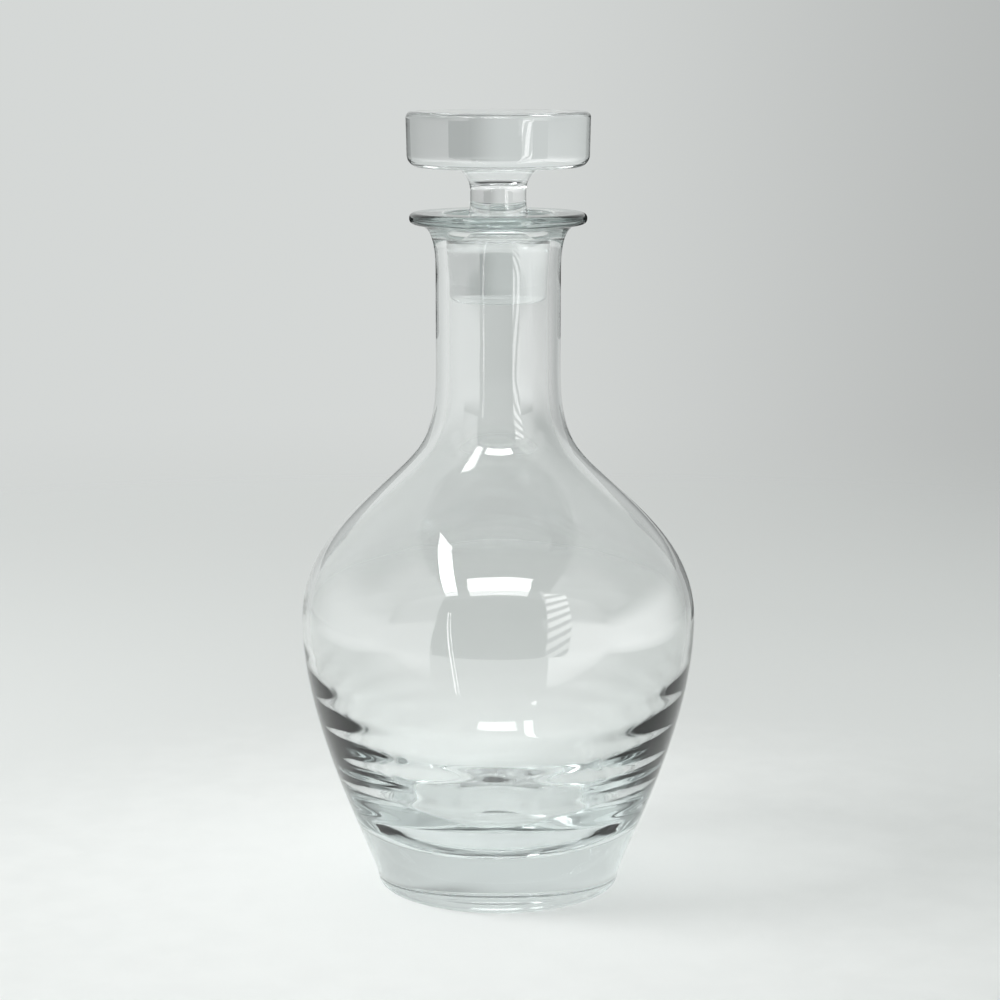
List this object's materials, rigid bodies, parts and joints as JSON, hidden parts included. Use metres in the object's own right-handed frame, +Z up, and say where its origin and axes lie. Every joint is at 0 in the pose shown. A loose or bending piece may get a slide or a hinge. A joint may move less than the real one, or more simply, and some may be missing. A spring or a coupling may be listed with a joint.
{
  "type": "whisky decanter",
  "caption": "Clear glass whisky decanter: round bottle with a heavy base, long neck and flat lip, closed by a lift-off stopper with a disc head and a tapered plug.",
  "frame": {"origin": "centre of the flat ring that the bottle stands on", "axes": "+Z up along the bottle's axis, out of the mouth; the decanter is round, so +X and +Y are any two directions across it"},
  "size_m": [0.127, 0.127, 0.25],
  "materials": {
    "bottle_glass": "clear, fire polished",
    "stopper_glass": "clear, polished, plug ground to the neck's taper"
  },
  "bodies": {
    "bottle": {"bottle": "bottle_glass"},
    "stopper": {"stopper": "stopper_glass"}
  },
  "joints": [
    {"name": "stopper_lift", "type": "slide", "parent": "bottle", "child": "stopper", "axis": [0, 0, 1], "range_m": [0, 0.06]}
  ]
}
